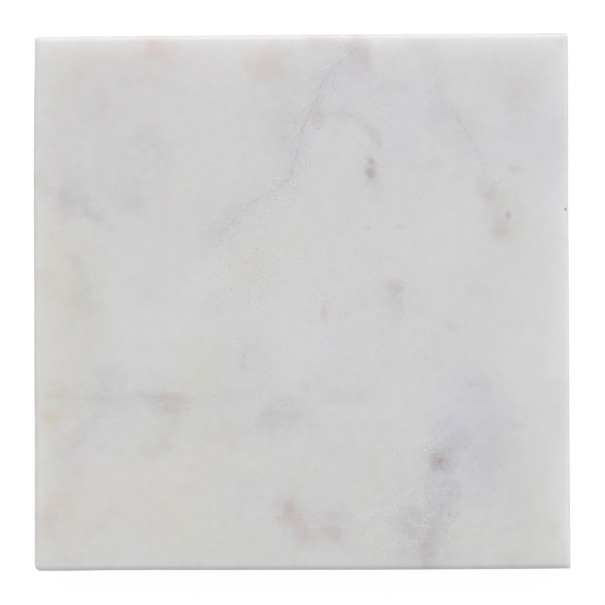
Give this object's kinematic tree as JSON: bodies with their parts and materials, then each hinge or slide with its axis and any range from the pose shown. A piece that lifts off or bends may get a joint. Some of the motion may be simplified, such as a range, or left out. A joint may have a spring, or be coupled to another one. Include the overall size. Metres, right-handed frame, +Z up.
{
  "type": "drink coaster",
  "caption": "Square honed white marble drink coaster with eased edges, standing on small round cork feet under its corners.",
  "frame": {"origin": "on the table, under the middle of the square slab", "axes": "+Z up out of the face that takes the glass, +X right and +Y to the back, both square to the slab's sides; the picture looks down -Z with +Y up the picture"},
  "size_m": [0.1, 0.1, 0.0122],
  "materials": {
    "marble": "honed white marble with faint grey veins and pink, warm and lavender clouds",
    "cork": "fine-grain agglomerated cork, matt",
    "adhesive": "cream acrylic adhesive film, satin"
  },
  "bodies": {
    "root": {"stone_slab": "marble", "cork_foot_front_left": "cork", "cork_foot_front_right": "cork", "cork_foot_back_left": "cork", "cork_foot_back_right": "cork", "adhesive_film_front_left": "adhesive", "adhesive_film_front_right": "adhesive", "adhesive_film_back_left": "adhesive", "adhesive_film_back_right": "adhesive"}
  },
  "joints": []
}
